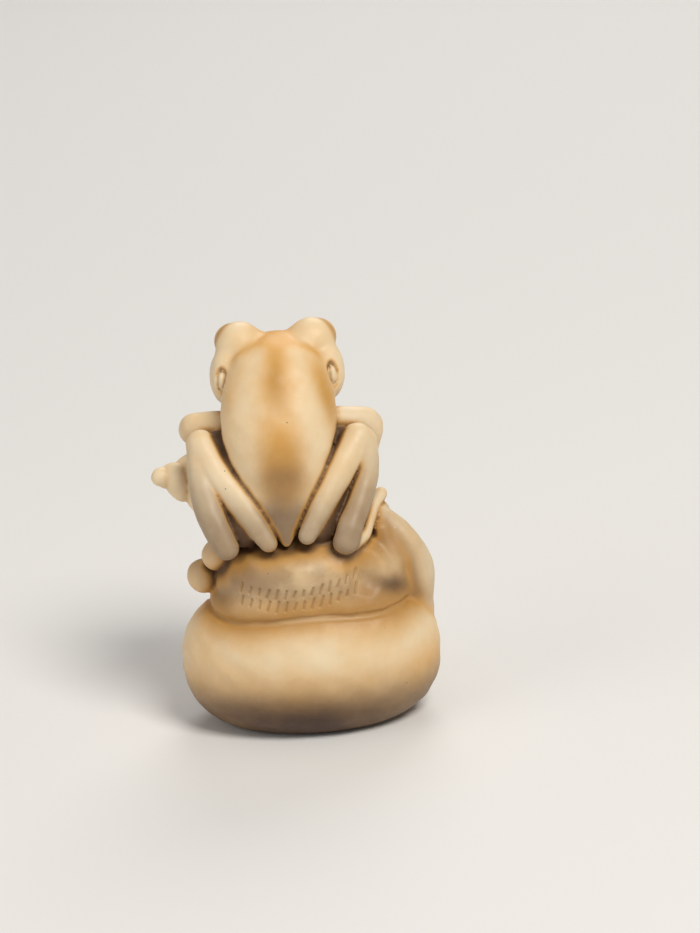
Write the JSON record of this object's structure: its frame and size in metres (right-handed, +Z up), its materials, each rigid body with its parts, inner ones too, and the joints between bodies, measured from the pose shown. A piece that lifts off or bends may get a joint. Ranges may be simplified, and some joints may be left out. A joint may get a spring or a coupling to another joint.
{
  "type": "frog figurine",
  "caption": "Small cast resin figurine of a frog sitting upright on a domed mound with a spiral shell beside it, on a smooth cushion-shaped base.",
  "frame": {"origin": "middle of the flat underside of the base", "axes": "+Z up; +Y the way the frog looks, away from the side that the picture shows; +X to the frog's right hand side"},
  "size_m": [0.0176, 0.0131, 0.025],
  "materials": {
    "cast_resin": "satin ivory cast resin with a brown stain in the recesses and painted orange-brown patches"
  },
  "bodies": {
    "root": {"frog_figurine": "cast_resin"}
  },
  "joints": []
}
